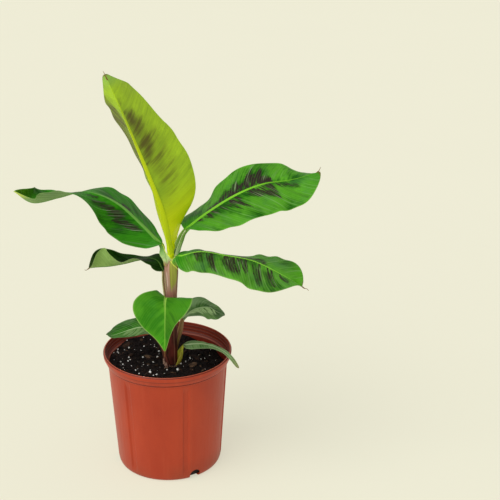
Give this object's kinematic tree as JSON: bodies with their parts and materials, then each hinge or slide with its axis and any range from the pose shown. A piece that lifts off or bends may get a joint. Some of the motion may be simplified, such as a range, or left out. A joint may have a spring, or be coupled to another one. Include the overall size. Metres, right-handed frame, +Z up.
{
  "type": "potted dwarf banana plant",
  "caption": "Young dwarf banana plant with a short pseudostem, arching paddle-shaped leaves on channelled stalks, and potting mix in a tapered nursery pot with drain holes.",
  "frame": {"origin": "centre of the flat underside of the pot, on the ground", "axes": "+Z up, +X to the right and +Y away from the viewer in the picture"},
  "size_m": [0.5934, 0.278, 0.8241],
  "materials": {
    "pot_plastic": "satin, slightly scuffed terracotta-coloured plastic",
    "potting_mix": "damp dark peat mix with white perlite grains and bark chips",
    "stem": "smooth living sheaths, maroon at the foot and green at the fork",
    "stalk": "smooth living stalk",
    "leaf": "semi-gloss living leaf with maroon flecks",
    "young_leaf": "young yellow-green leaf, matt underneath"
  },
  "bodies": {
    "root": {"pot": "pot_plastic", "potting_soil": "potting_mix", "pseudostem": "stem", "upright_leaf_stalk": "stalk", "upper_right_leaf_stalk": "stalk", "upper_left_leaf_stalk": "stalk", "lower_right_leaf_stalk": "stalk", "lower_left_leaf_stalk": "stalk", "front_leaf_stalk": "stalk", "small_right_leaf_stalk": "stalk", "small_left_leaf_stalk": "stalk", "low_leaf_stalk": "stalk", "upright_leaf_blade": "young_leaf", "upper_right_leaf_blade": "leaf", "upper_left_leaf_blade": "leaf", "lower_right_leaf_blade": "leaf", "lower_left_leaf_blade": "leaf", "front_leaf_blade": "leaf", "small_right_leaf_blade": "leaf", "small_left_leaf_blade": "leaf", "low_leaf_blade": "leaf"}
  },
  "joints": []
}
